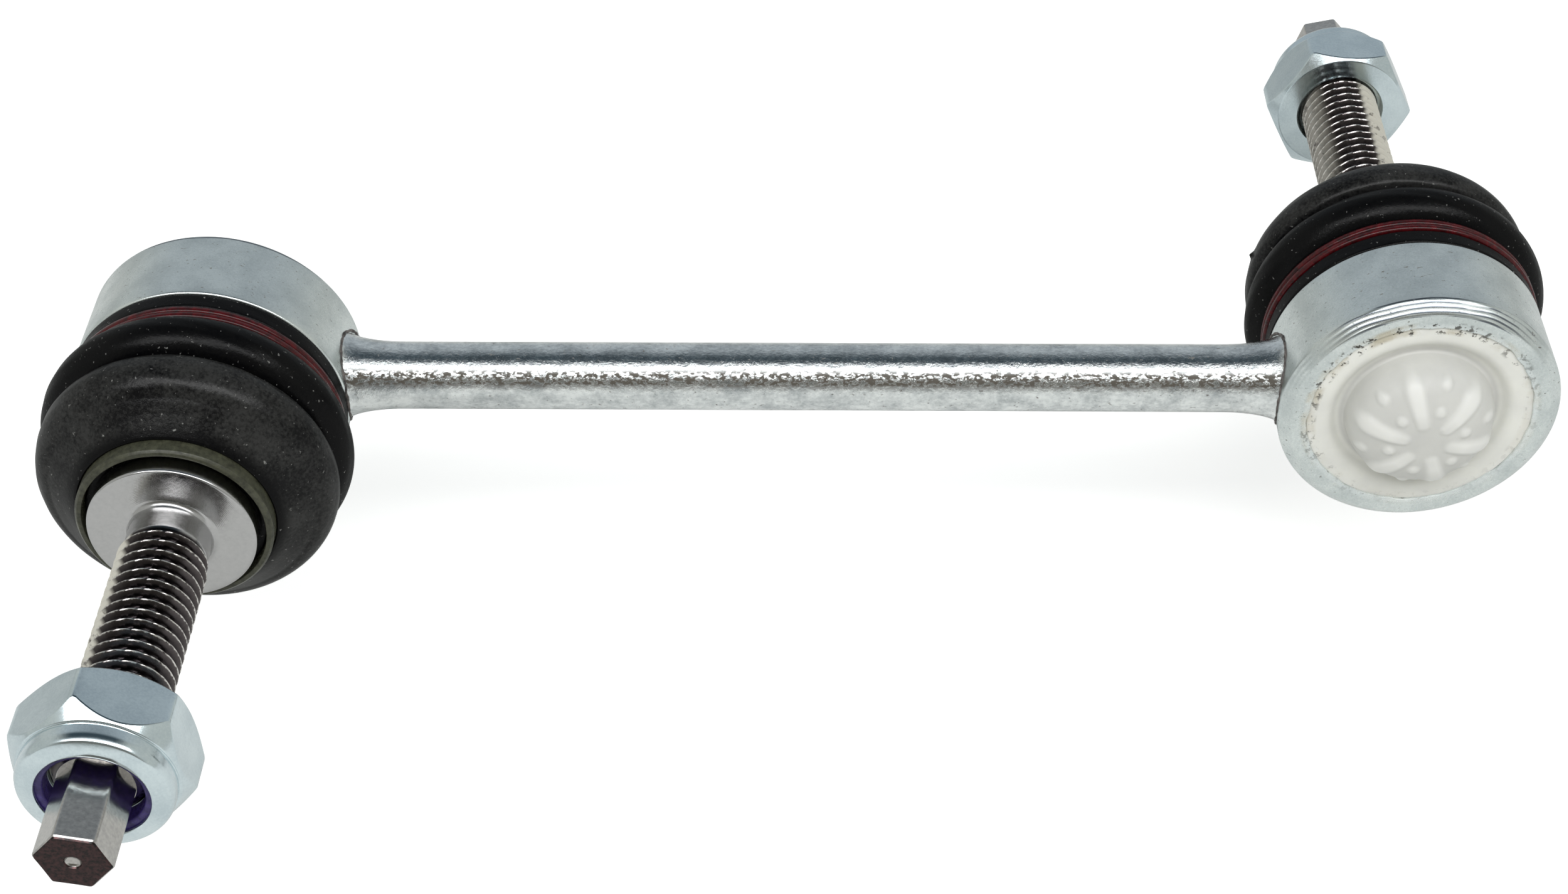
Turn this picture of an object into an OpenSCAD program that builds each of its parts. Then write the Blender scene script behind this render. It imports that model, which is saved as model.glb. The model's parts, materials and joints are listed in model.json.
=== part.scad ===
// Stabilizer link: a round rod with a sealed ball joint at each end.
// The two studs point opposite ways, square to the rod.
// Origin midway between the two ball joints on the rod's axis.
// X runs along the rod, the right-hand stud points along +Y, Z is up. Millimetres.
// A profile point is [radius, distance along the stud's axis], counted outwards from the rod's axis.

/* [Link] */
// Distance between the two stud axes
centre_distance = 141; // [110:1:220]
// Diameter of the rod
rod_d = 8; // [7:0.5:9]
// How far the rod's end widens, on the radius, where it meets a housing
rod_flare = 1.6; // [0.5:0.1:2]
// Length of the widening end
rod_flare_len = 7; // [4:0.5:12]

/* [Housing] */
// Outside diameter of the ring housing
housing_d = 32.4; // [31.5:0.1:38]
// Rod axis to the rolled rim's face
housing_front = 6.8; // [6.5:0.1:9]
// Rod axis to the shoulder under the boot
housing_back = 5.2; // [4.8:0.1:6.5]
// Wall round the cap
front_wall = 2.25; // [1.6:0.05:3]
// Wall of the neck round the ball seat
neck_wall = 2; // [1.4:0.1:2.6]
// Chamfer round the cap side
front_chamfer = 1.2; // [0.4:0.1:2]
// Chamfer at the shoulder
back_chamfer = 0.4; // [0.2:0.1:0.8]
// Step on the radius from the shoulder down to the boot's seat
shoulder_step = 2.8; // [2.2:0.1:3.2]
// Depth of the groove for the boot's bead
bead_depth = 0.5; // [0.2:0.1:0.8]
// Width of the rolled rim over the cap
rim_w = 1; // [0.6:0.1:1.4]
// Thickness of the rolled rim
rim_t = 0.8; // [0.5:0.1:1.2]
// Thickness of the lip that keeps the ball seat in
lip_t = 2; // [1.5:0.1:3]
// Chamfer on the top edge of the neck
neck_edge = 0.5; // [0.2:0.1:0.8]

/* [Cap] */
// Thickness of the cap's flange
cap_t = 1.3; // [1:0.1:2]
// Outside diameter of the cap's ring groove
cap_groove_d = 20.4; // [18:0.2:22]
// Width of the ring groove
cap_groove_w = 1.6; // [1:0.1:2.4]
// How far the cap's ring lies below the rim's face
cap_recess = 0.25; // [0.1:0.05:0.4]
// Width of the sloping edges of the cap's ring
cap_edge = 0.4; // [0.2:0.1:0.6]
// Depth of the ring groove
cap_groove_depth = 1.1; // [0.5:0.1:1.3]
// How far the middle dome stands above the groove
cap_dome_h = 6.4; // [3:0.1:8]
// How full the dome's shoulder is: 2 gives an ellipse, more comes nearer to a box
cap_dome_full = 2.6; // [2:0.1:3.5]

/* [Ball joint] */
// Diameter of the ball
ball_d = 16; // [15:0.2:17]
// Thickness of the seat's floor
seat_floor = 0.5; // [0.4:0.1:1.2]
// Height of the seat's flared lip
seat_lip_h = 1; // [0.6:0.1:1.4]
// Diameter of the grease pocket in the seat's floor
pocket_d = 7; // [4:0.5:9]
// Diameter of the stud's neck
neck_d = 9.2; // [8:0.1:9.6]
// Tilt, to any side, that the neck has room for
tilt_room = 27; // [26:0.5:28]

/* [Boot] */
// Height of the lower lip, below the clamp ring
lip_h = 2.3; // [1.8:0.1:3]
// How far the lower lip stands out past the housing
lip_out = 0.05; // [0:0.05:0.4]
// Radius of the first bulge
bulge_1_r = 3; // [2.6:0.1:3.6]
// How far the first bulge stands out past the housing
bulge_1_out = 1.8; // [1.4:0.1:2.4]
// How far the crease between the bulges lies inside the housing's outside
crease_in = 1.5; // [1:0.1:2]
// Height of the crease above the first bulge
crease_rise = 0.4; // [0.2:0.1:0.6]
// Height of the second bulge's lower edge above the crease
edge_rise = 0.45; // [0.3:0.05:0.7]
// Height of the second bulge's widest place above its lower edge
bulge_2_rise = 1.85; // [1.4:0.05:2.2]
// How far the second bulge stands out past the housing
bulge_2_out = 1; // [0.5:0.1:2]
// Depth of the second bulge on the radius
bulge_2_depth = 2.8; // [2.4:0.1:3.4]
// Height of the upper lip
upper_lip_h = 4.2; // [3.6:0.1:4.6]
// Chamfer on the lips' edges
lip_edge = 0.3; // [0.1:0.1:0.5]
// Height of the slope between the second bulge and the neck ring
slope_h = 3.2; // [2.4:0.1:3.6]
// Thickness of the rubber
rubber_t = 1.7; // [1.4:0.1:2.2]

/* [Boot rings] */
// Height of the clamp ring round the lower lip
clamp_h = 1.9; // [1.4:0.1:2.6]
// Thickness of the clamp ring
clamp_t = 1.3; // [0.9:0.1:1.5]
// Width of the neck ring, on the radius
neck_ring_w = 0.8; // [0.6:0.05:1.2]
// Height of the neck ring
neck_ring_h = 3; // [2.2:0.1:3.4]
// Chamfer on the clamp ring's edges
clamp_edge = 0.4; // [0.2:0.1:0.6]
// How deep the neck ring sits in the boot
neck_ring_sunk = 1.7; // [1.2:0.1:2]
// Chamfer on the neck ring's outer edge
neck_ring_chamfer = 0.3; // [0.1:0.1:0.5]

/* [Stud] */
// Diameter of the flange
flange_d = 18.8; // [18:0.1:19.2]
// Thickness of the flange
flange_t = 2.8; // [2:0.1:4]
// Rod axis to the flange's outer face
flange_at = 28; // [27:0.1:34]
// Chamfer on the flange's edges
flange_edge = 0.3; // [0.1:0.1:0.6]
// Diameter of the seat under the boot's upper lip
stud_seat_d = 13.2; // [12:0.1:14]
// How far that seat runs on below the upper lip
stud_seat_run = 1; // [0.5:0.1:1.5]
// Length of the taper between neck and seat
neck_taper = 2; // [1:0.1:3]
// Nominal thread diameter
thread_d = 10; // [9:0.5:10.5]
// Pitch of the thread, whose turns are drawn as separate ridges
thread_pitch = 1.5; // [1.25:0.25:1.75]
// Depth of the thread
thread_depth = 0.8; // [0.6:0.05:0.9]
// Width of a ridge's flat crest
crest_w = 0.25; // [0.2:0.05:0.4]
// Width of a ridge's flank
flank_w = 0.45; // [0.3:0.05:0.45]
// Flange's outer face to the first crest
shank_len = 4.5; // [3:0.5:8]
// How much smaller, on the radius, the thread's lead is, on which the nut starts
lead_step = 0.2; // [0.2:0.05:0.5]
// Length of the thread's lead
lead_len = 8.5; // [4:0.5:10]
// Chamfer at the thread's end
lead_chamfer = 0.4; // [0.2:0.1:0.5]
// Rod axis to the thread's end
thread_end = 64.5; // [60:0.5:68]
// Diameter of the plain shank between flange and thread
shank_d = 9.2; // [8.6:0.1:9.4]
// Fillet between flange and shank
shank_fillet = 0.8; // [0.4:0.1:1.5]
// Width across flats of the hexagon tip
tip_af = 7; // [5:0.5:7]
// Length of the hexagon tip
tip_len = 10; // [6:0.5:12]
// Chamfer on the hexagon tip's end
tip_chamfer = 0.2; // [0.1:0.1:0.5]
// Diameter of the centre mark in the tip's end
centre_mark_d = 2.2; // [1:0.1:3]

/* [Nut] */
// Width across flats of the nut
nut_af = 17; // [16:0.5:18]
// Height of the nut with its collar
nut_h = 10; // [9:0.5:12]
// Height of the hexagon
nut_hex_h = 7.2; // [6.4:0.1:7.4]
// How far the bearing face's circle lies inside the flats
nut_face_in = 0.2; // [0:0.1:0.6]
// Height of the turned corners at the bearing face
nut_corner = 1.4; // [0.8:0.1:1.8]
// Height of the turned corners at the collar
collar_corner = 2.3; // [1.4:0.1:2.6]
// Countersink of the nut's bore
countersink = 0.6; // [0.3:0.1:0.9]
// Outside diameter of the collar
collar_d = 16.2; // [15.6:0.1:16.4]
// Rounding of the collar's outer edge
collar_round = 1.5; // [0.8:0.1:1.8]
// Diameter of the collar's mouth
collar_mouth_d = 11.6; // [11:0.1:12.6]
// Outside diameter of the nylon insert
insert_d = 13.7; // [12.8:0.1:13.9]
// Thickness of the collar's turned-in edge
collar_edge_t = 0.6; // [0.4:0.1:0.9]
// Rod axis to a nut's bearing face
nut_at = 56.4; // [50:0.1:58]
// Angle of the left nut about its stud
left_nut_angle = 37; // [0:1:60]
// Angle of the right nut about its stud
right_nut_angle = 3; // [0:1:60]
// Angle of the hexagon tips about their studs
tip_angle = 48; // [0:1:60]

/* [Fits] */
// Gap between a seated piece and its pocket
seat_gap = 0.05; // [0.02:0.01:0.1]
// Room between the tilted neck and the housing's mouth
mouth_room = 0.3; // [0.2:0.05:0.5]
// Running gap round the ball
ball_gap = 0.05; // [0.02:0.01:0.1]
// Gap between rubber and what it grips
rubber_gap = 0.1; // [0.05:0.05:0.2]
// Gap between the neck ring and the stud's flange
ring_gap = 0.8; // [0.5:0.05:1]
// Gap between the thread and the nut
thread_gap = 0.05; // [0.02:0.01:0.1]

/* [Hidden] */
$fn = 96;

zinc = [0.72, 0.76, 0.76];
steel = [0.62, 0.62, 0.62];
dark_steel = [0.45, 0.44, 0.43];
rubber = [0.08, 0.08, 0.09];
red = [0.36, 0.06, 0.07];
olive = [0.42, 0.42, 0.32];
ivory = [0.9, 0.89, 0.84];
pale_plastic = [0.8, 0.8, 0.78];
violet = [0.15, 0.12, 0.3];

arc_steps = 12;
cut_past = 1;
// Keeps the corners of a hexagon off the seam at which a turned shape closes
corner_turn = 15;

// Ball joint, stacked up from the rim
housing_r = housing_d / 2;
ball_r = ball_d / 2;
neck_r = neck_d / 2;
cap_r = housing_r - front_wall - seat_gap;
cap_face = -housing_front + rim_t + seat_gap;
cap_back = cap_face + cap_t;
seat_bottom = cap_back + seat_gap;
ball_at = seat_bottom + seat_floor + ball_gap + ball_r;
housing_neck_r = housing_r - shoulder_step;
bore_r = housing_neck_r - neck_wall;
seat_r = bore_r - seat_gap;

// Room for the tilted neck: the edge of the seat and of the housing's mouth
function neck_reach(height) = height * tan(tilt_room) + neck_r / cos(tilt_room);
wrap_angle = asin(neck_r / ball_r) + tilt_room;
seat_edge_r = (ball_r + ball_gap) * sin(wrap_angle);
seat_edge_h = (ball_r + ball_gap) * cos(wrap_angle);
seat_top = ball_at + seat_edge_h + seat_lip_h;
mouth_bottom = seat_top + seat_gap;
neck_top = mouth_bottom + lip_t;
mouth_r = max(neck_reach(mouth_bottom - ball_at), seat_edge_r) + mouth_room;
mouth_top_r = neck_reach(neck_top - ball_at) + mouth_room;

// Boot and its rings; the bulges are arcs that start and end at angles in degrees
lip_bottom = housing_back + rubber_gap;
clamp_bottom = lip_bottom + lip_h;
clamp_top = clamp_bottom + clamp_h + 2 * rubber_gap;
lip_r = housing_r + lip_out;
clamp_floor_r = lip_r - clamp_t;
bead_bottom = clamp_bottom;
bead_top = bead_bottom + clamp_h;
bulge_1_c = [housing_r + bulge_1_out - bulge_1_r, clamp_top + bulge_1_r];
bulge_1_from = -60;
bulge_1_end = 84;
crease_r = housing_r - crease_in;
crease_at = bulge_1_c[1] + bulge_1_r + crease_rise;
flange_r = flange_d / 2;
flange_back = flange_at - flange_t;
neck_ring_in = flange_r + ring_gap;
neck_ring_r = neck_ring_in + neck_ring_w;
slope_top = flange_back;
slope_bottom = slope_top - slope_h;
bulge_2_end = 78;
bulge_2_at = crease_at + edge_rise + bulge_2_rise;
bulge_2_h = slope_bottom - bulge_2_at;
bulge_2_c = [housing_r + bulge_2_out - bulge_2_depth, bulge_2_at];
upper_lip_top = flange_back - rubber_gap;
upper_lip_bottom = upper_lip_top - upper_lip_h;
stud_seat_r = stud_seat_d / 2;
upper_lip_in = stud_seat_r + rubber_gap;
ring_groove_bottom = slope_top - neck_ring_sunk;
neck_ring_bottom = ring_groove_bottom + rubber_gap;

// Stud and nut
thread_r = thread_d / 2;
lead_r = thread_r - lead_step;
root_r = thread_r - thread_depth;
shank_r = shank_d / 2;
thread_start = flange_at + shank_len;
tip_r = tip_af / sqrt(3);
stud_end = thread_end + tip_len;
nut_r = nut_af / sqrt(3);
nut_bore_r = thread_r + thread_gap;
nut_face_r = nut_af / 2 - nut_face_in;
insert_top = nut_h - collar_edge_t;

function arc(centre, radii, from, to) =
  [for (i = [0 : arc_steps])
    let (t = from + (to - from) * i / arc_steps)
    centre + [radii[0] * cos(t), radii[1] * sin(t)]];

// Places what is drawn along Z onto one of the two stud axes
module right_end() translate([centre_distance / 2, 0, 0]) rotate([-90, 0, 0]) children();
module left_end() rotate([0, 0, 180]) right_end() children();

module turned(profile) rotate_extrude() polygon(profile);

// Bar between the housings, with trumpet ends cut to the housings' round walls
module rod() {
  half = centre_distance / 2;
  rod_r = rod_d / 2;
  flare_r = rod_r + rod_flare;
  flare_end = half - sqrt(pow(housing_r, 2) - pow(flare_r, 2));
  flare = arc([flare_r, flare_end - rod_flare_len], [rod_flare, rod_flare_len], 180, 90);
  color(zinc) difference() {
    rotate([0, 90, 0]) for (side = [0, 1]) mirror([0, 0, side])
      turned(concat([[0, 0], [rod_r, 0]], flare, [[0, flare_end]]));
    for (side = [-1, 1]) translate([side * half, 0, 0])
      rotate([90, 0, 0]) cylinder(h = housing_d, r = housing_r, center = true);
  }
}

// Ring with a rolled rim over the cap, a grooved neck for the boot and a flared mouth
module housing() {
  color(zinc) turned([
    [cap_r - rim_w, -housing_front],
    [housing_r - front_chamfer, -housing_front],
    [housing_r, front_chamfer - housing_front],
    [housing_r, housing_back - back_chamfer],
    [housing_r - back_chamfer, housing_back],
    [housing_neck_r, housing_back],
    [housing_neck_r, bead_bottom],
    [housing_neck_r - bead_depth, bead_bottom],
    [housing_neck_r - bead_depth, bead_top],
    [housing_neck_r, bead_top],
    [housing_neck_r, neck_top - neck_edge],
    [housing_neck_r - neck_edge, neck_top],
    [mouth_top_r, neck_top],
    [mouth_r, mouth_bottom],
    [bore_r, mouth_bottom],
    [bore_r, cap_back],
    [cap_r + seat_gap, cap_back],
    [cap_r + seat_gap, rim_t - housing_front],
    [cap_r - rim_w, rim_t - housing_front]
  ]);
}

// Bearing shell: a bowl that closes past the ball's equator, with a grease pocket in its floor
module ball_seat() {
  flare = (mouth_r - seat_edge_r) / seat_lip_h;
  color(pale_plastic) difference() {
    translate([0, 0, seat_bottom]) cylinder(h = seat_top - seat_bottom, r = seat_r);
    translate([0, 0, ball_at]) sphere(r = ball_r + ball_gap);
    translate([0, 0, seat_bottom - cut_past]) cylinder(h = ball_r, r = pocket_d / 2);
    translate([0, 0, seat_top - seat_lip_h - cut_past])
      cylinder(
        h = seat_lip_h + 2 * cut_past,
        r1 = seat_edge_r - flare * cut_past,
        r2 = mouth_r + flare * cut_past
      );
  }
}

// Half of a rounded outline, from the foot of its side to its top on the axis
function dome(foot_r, foot_at, height, fullness) =
  [for (i = [0 : arc_steps])
    let (t = 90 * i / arc_steps, power = 2 / fullness)
    [foot_r * pow(cos(t), power), foot_at - height * pow(sin(t), power)]];

// Closing plate: flange under the rim, raised ring, groove and a full dome
module cap() {
  ring_r = cap_r - rim_w - seat_gap;
  ring_face = cap_recess - housing_front;
  groove_r = cap_groove_d / 2;
  groove_face = ring_face + cap_groove_depth;
  color(ivory) turned(concat(
    [[0, cap_back], [cap_r, cap_back], [cap_r, cap_face], [ring_r, cap_face]],
    [[ring_r, ring_face + cap_edge], [ring_r - cap_edge, ring_face]],
    [[groove_r + cap_edge, ring_face], [groove_r, groove_face]],
    dome(groove_r - cap_groove_w, groove_face, cap_dome_h, cap_dome_full)
  ));
}

module ball() {
  color(steel) translate([0, 0, ball_at]) sphere(r = ball_r);
}

// Rubber bellows: lower lip with a bead, clamp groove, two bulges and an upper lip on the stud
module boot() {
  seat_in = housing_neck_r + rubber_gap;
  bead_in = seat_in - bead_depth;
  wall = [rubber_t, rubber_t];
  bulge_1 = [bulge_1_r, bulge_1_r];
  bulge_2 = [bulge_2_depth, bulge_2_h];
  ring_out_r = neck_ring_r + rubber_gap;
  ring_in_r = neck_ring_in - rubber_gap;
  color(rubber) turned(concat(
    [[seat_in, lip_bottom], [lip_r - lip_edge, lip_bottom], [lip_r, lip_bottom + lip_edge]],
    [[lip_r, clamp_bottom - lip_edge], [lip_r - lip_edge, clamp_bottom]],
    [[clamp_floor_r, clamp_bottom], [clamp_floor_r, clamp_top]],
    arc(bulge_1_c, bulge_1, -90, bulge_1_end),
    [[crease_r, crease_at]],
    arc([housing_r, bulge_2_at], [bulge_2_out, bulge_2_rise], -90, 0),
    arc(bulge_2_c, bulge_2, 0, bulge_2_end),
    [[ring_out_r, slope_top], [ring_out_r, ring_groove_bottom]],
    [[ring_in_r, ring_groove_bottom], [ring_in_r, upper_lip_top]],
    [[upper_lip_in, upper_lip_top], [upper_lip_in, upper_lip_bottom]],
    [[ring_in_r - lip_edge, upper_lip_bottom], [ring_in_r, upper_lip_bottom + lip_edge]],
    arc(bulge_2_c, bulge_2 - wall, bulge_2_end, 0),
    [[crease_r - rubber_t, crease_at]],
    arc(bulge_1_c, bulge_1 - wall, bulge_1_end, bulge_1_from),
    [[seat_in, neck_top + rubber_gap], [seat_in, bead_top - rubber_gap]],
    [[bead_in, bead_top - rubber_gap], [bead_in, bead_bottom + rubber_gap]],
    [[seat_in, bead_bottom + rubber_gap]]
  ));
}

// Flat ring with rounded edges round the boot's lower lip
module clamp_ring() {
  inner = clamp_floor_r + rubber_gap;
  outer = lip_r + rubber_gap;
  low = clamp_bottom + rubber_gap;
  high = low + clamp_h;
  color(red) turned([
    [inner, low], [outer - clamp_edge, low], [outer, low + clamp_edge],
    [outer, high - clamp_edge], [outer - clamp_edge, high], [inner, high]
  ]);
}

module neck_ring() {
  top = neck_ring_bottom + neck_ring_h;
  color(olive) turned([
    [neck_ring_in, neck_ring_bottom],
    [neck_ring_r, neck_ring_bottom],
    [neck_ring_r, top - neck_ring_chamfer],
    [neck_ring_r - neck_ring_chamfer, top],
    [neck_ring_in, top]
  ]);
}

// One turn of the thread, round a crest
function ridge(at, crest_r) =
  let (crest = crest_w / 2, foot = crest + flank_w)
  [[root_r, at - foot], [crest_r, at - crest], [crest_r, at + crest], [root_r, at + foot]];

// Stud: hollow foot on the ball, neck, boot seat, flange, shank, ridged thread and hexagon tip
module stud() {
  stud_seat_bottom = upper_lip_bottom - stud_seat_run;
  ridge_foot = crest_w / 2 + flank_w;
  last_crest = thread_end - lead_chamfer - ridge_foot;
  lead_from = thread_end - lead_len;
  shank_end = thread_start - ridge_foot;
  mark_depth = centre_mark_d / 3;
  fillet = [shank_fillet, shank_fillet];
  color(dark_steel) difference() {
    union() {
      turned(concat(
        [[0, ball_at], [neck_r, ball_at], [neck_r, stud_seat_bottom - neck_taper]],
        [[stud_seat_r, stud_seat_bottom], [stud_seat_r, flange_back]],
        [[flange_r - flange_edge, flange_back], [flange_r, flange_back + flange_edge]],
        [[flange_r, flange_at - flange_edge], [flange_r - flange_edge, flange_at]],
        arc([shank_r, flange_at] + fillet, fillet, 270, 180),
        [[shank_r, shank_end]],
        [for (at = [thread_start : thread_pitch : last_crest])
          each ridge(at, at + ridge_foot > lead_from ? lead_r : thread_r)],
        [[root_r, thread_end - lead_chamfer], [root_r - lead_chamfer, thread_end], [0, thread_end]]
      ));
      rotate([0, 0, tip_angle - corner_turn]) intersection() {
        translate([0, 0, thread_end - cut_past]) rotate([0, 0, corner_turn])
          cylinder(h = tip_len + cut_past, r = tip_r, $fn = 6);
        turned([
          [0, thread_end - cut_past], [tip_r + cut_past, thread_end - cut_past],
          [tip_r + cut_past, stud_end - tip_chamfer - cut_past],
          [tip_r - tip_chamfer, stud_end], [0, stud_end]
        ]);
      }
    }
    translate([0, 0, ball_at]) sphere(r = ball_r + ball_gap);
    translate([0, 0, stud_end - mark_depth])
      cylinder(h = 2 * mark_depth, r1 = 0, r2 = centre_mark_d);
  }
}

// Hexagon nut with cone-turned corners and a rounded collar that holds the insert
module nut(angle) {
  collar_r = collar_d / 2;
  collar_mouth_r = collar_mouth_d / 2;
  pocket_r = insert_d / 2 + seat_gap;
  collar_from = nut_hex_h - nut_corner;
  cone_r = nut_r + cut_past;
  cone_share = (cone_r - nut_face_r) / (nut_r - nut_face_r);
  color(zinc) translate([0, 0, nut_at]) rotate([0, 0, angle - corner_turn]) difference() {
    union() {
      intersection() {
        rotate([0, 0, corner_turn]) cylinder(h = nut_hex_h, r = nut_r, $fn = 6);
        turned([
          [0, 0], [nut_face_r, 0], [cone_r, nut_corner * cone_share],
          [cone_r, nut_hex_h - collar_corner * cone_share], [nut_face_r, nut_hex_h], [0, nut_hex_h]
        ]);
      }
      turned(concat(
        [[0, collar_from], [collar_r, collar_from]],
        arc([collar_r - collar_round, nut_h - collar_round], [collar_round, collar_round], 0, 90),
        [[0, nut_h]]
      ));
    }
    turned([
      [0, -cut_past], [nut_bore_r + countersink + cut_past, -cut_past],
      [nut_bore_r, countersink], [nut_bore_r, nut_hex_h],
      [pocket_r, nut_hex_h], [pocket_r, insert_top],
      [collar_mouth_r, insert_top], [collar_mouth_r, nut_h + cut_past], [0, nut_h + cut_past]
    ]);
  }
}

module nut_insert() {
  color(violet) translate([0, 0, nut_at]) turned([
    [nut_bore_r, nut_hex_h + seat_gap],
    [insert_d / 2, nut_hex_h + seat_gap],
    [insert_d / 2, insert_top - seat_gap],
    [nut_bore_r, insert_top - seat_gap]
  ]);
}

module left_housing() left_end() housing();
module right_housing() right_end() housing();
module left_ball_seat() left_end() ball_seat();
module right_ball_seat() right_end() ball_seat();
module left_cap() left_end() cap();
module right_cap() right_end() cap();
module left_ball() left_end() ball();
module right_ball() right_end() ball();
module left_stud() left_end() stud();
module right_stud() right_end() stud();
module left_boot() left_end() boot();
module right_boot() right_end() boot();
module left_clamp_ring() left_end() clamp_ring();
module right_clamp_ring() right_end() clamp_ring();
module left_neck_ring() left_end() neck_ring();
module right_neck_ring() right_end() neck_ring();
module left_nut() left_end() nut(left_nut_angle);
module right_nut() right_end() nut(right_nut_angle);
module left_nut_insert() left_end() nut_insert();
module right_nut_insert() right_end() nut_insert();

rod();
left_housing();
left_ball_seat();
left_cap();
left_ball();
left_stud();
left_boot();
left_clamp_ring();
left_neck_ring();
left_nut();
left_nut_insert();
right_housing();
right_ball_seat();
right_cap();
right_ball();
right_stud();
right_boot();
right_clamp_ring();
right_neck_ring();
right_nut();
right_nut_insert();
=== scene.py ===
import json
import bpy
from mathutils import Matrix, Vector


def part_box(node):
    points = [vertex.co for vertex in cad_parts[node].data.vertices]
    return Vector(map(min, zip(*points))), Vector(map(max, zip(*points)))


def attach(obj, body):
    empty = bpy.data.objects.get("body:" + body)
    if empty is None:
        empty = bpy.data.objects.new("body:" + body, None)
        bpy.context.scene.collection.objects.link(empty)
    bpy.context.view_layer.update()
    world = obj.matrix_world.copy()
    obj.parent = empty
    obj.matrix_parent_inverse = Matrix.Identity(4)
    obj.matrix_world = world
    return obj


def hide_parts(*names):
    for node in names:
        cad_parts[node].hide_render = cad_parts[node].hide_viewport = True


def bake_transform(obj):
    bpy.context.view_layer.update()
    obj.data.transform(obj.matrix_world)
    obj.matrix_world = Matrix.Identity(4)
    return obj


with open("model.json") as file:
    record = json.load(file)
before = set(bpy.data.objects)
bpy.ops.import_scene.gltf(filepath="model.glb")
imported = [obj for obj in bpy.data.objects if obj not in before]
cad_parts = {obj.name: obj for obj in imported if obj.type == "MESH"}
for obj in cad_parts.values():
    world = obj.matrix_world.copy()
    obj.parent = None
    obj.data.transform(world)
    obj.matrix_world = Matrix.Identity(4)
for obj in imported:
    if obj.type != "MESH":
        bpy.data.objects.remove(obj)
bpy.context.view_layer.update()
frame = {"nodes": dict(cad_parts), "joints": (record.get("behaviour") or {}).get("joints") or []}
from types import SimpleNamespace
import bmesh
import bpy
import numpy as np
from mathutils import Matrix, Vector

mm = 0.001
tiny = 1e-9


# A dictionary's values under their own names
def settings(values):
    return SimpleNamespace(**values)


print("frame loaded:", len(frame["nodes"]), "nodes")

# Measures taken from the frame, in millimetres. At each end, out runs along the stud from the rod's axis
joints = {joint["name"]: joint for joint in frame["joints"]}
halfCentre, ballAt = (value / mm for value in joints["right_swing"]["pos_m"][:2])
facingOf = {"left": -1, "right": 1}


def spanOf(piece, side="right"):
    low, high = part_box(side + "_" + piece)
    start, end = sorted(value * facingOf[side] / mm for value in (low.y, high.y))
    return {"low": start, "high": end, "radius": (high.z - low.z) / 2 / mm}


housingSpan = spanOf("housing")
capSpan = spanOf("cap")
bootSpan = spanOf("boot")
clampSpan = spanOf("clamp_ring")
neckRingSpan = spanOf("neck_ring")
studSpan = spanOf("stud")


# Surfaces

# From an end's own measures to the frame: x and y lie across the stud, out along it
def placeAtEnd(side, x, y, out):
    facing = facingOf[side]
    return np.stack(np.broadcast_arrays(facing * (halfCentre + x), facing * out, -y), axis=-1) * mm


# A profile's radius and out, each repeated at every angle
def repeatRound(profile, angles):
    return profile[:, :1] + 0 * angles, profile[:, 1:] + 0 * angles


def anglesRound(columns, start=0.0):
    return np.radians(start) + np.arange(columns) * 2 * np.pi / columns


# Rounds a profile's corners, given as (radius, out, rounding): an arc touches the two runs beside the corner,
# its centre on their bisector at the rounding over the sine of half the angle between them
def roundedProfile(corners, closed=True, steps=6):
    corners = np.array(corners, float)
    points = []
    for index, (radius, out, rounding) in enumerate(corners):
        corner = np.array([radius, out])
        atEnd = not closed and index in (0, len(corners) - 1)
        if rounding == 0 or atEnd:
            points.append(corner[None])
            continue
        before = corners[index - 1, :2] - corner
        after = corners[(index + 1) % len(corners), :2] - corner
        before /= np.linalg.norm(before)
        after /= np.linalg.norm(after)
        half = np.arccos(np.clip(before @ after, -1, 1)) / 2
        bisector = (before + after) / np.linalg.norm(before + after)
        centre = corner + bisector * rounding / np.sin(half)
        first = corner + before * rounding / np.tan(half) - centre
        last = corner + after * rounding / np.tan(half) - centre
        startAngle = np.arctan2(first[1], first[0])
        sweep = (np.arctan2(last[1], last[0]) - startAngle + np.pi) % (2 * np.pi) - np.pi
        turn = startAngle + sweep * np.linspace(0, 1, steps + 1)
        points.append(centre + rounding * np.stack([np.cos(turn), np.sin(turn)], axis=-1))
    return np.concatenate(points)


# Points of an ellipse's arc between two angles in degrees
def arcPoints(centre, radii, start, end, count):
    turn = np.radians(np.linspace(start, end, count))
    return np.stack([centre[0] + radii[0] * np.cos(turn), centre[1] + radii[1] * np.sin(turn)], axis=-1)


# Runs a profile's straight stretches in steps no longer than a given length
def spreadProfile(points, longest, closed=True):
    ends = np.roll(points, -1, axis=0) if closed else points[1:]
    starts = points if closed else points[:-1]
    runs = []
    for first, last in zip(starts, ends):
        count = max(1, int(np.ceil(np.linalg.norm(last - first) / longest)))
        share = np.arange(count)[:, None] / count
        runs.append(first + (last - first) * share)
    if not closed:
        runs.append(points[-1:])
    return np.concatenate(runs)


# A smooth uneven value round a circle: a sum of sines of whole numbers of waves, each with its own phase
def unevenRound(angles, waves, seed):
    phases = np.random.default_rng(seed).uniform(0, 2 * np.pi, len(waves))
    return sum(np.sin(wave * angles + phase) / np.sqrt(len(waves)) for wave, phase in zip(waves, phases))


# Distance from the axis to a regular hexagon's side at each angle, with corners cut to a circle
def hexRadius(angles, acrossFlats, cornerAngle, cornerRadius):
    fromFlat = (angles - np.radians(cornerAngle)) % (np.pi / 3) - np.pi / 6
    return np.minimum(acrossFlats / 2 / np.cos(fromFlat), cornerRadius)


meshLimits = {"sameSpot": 1e-7, "noLength": 1e-8}


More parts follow.
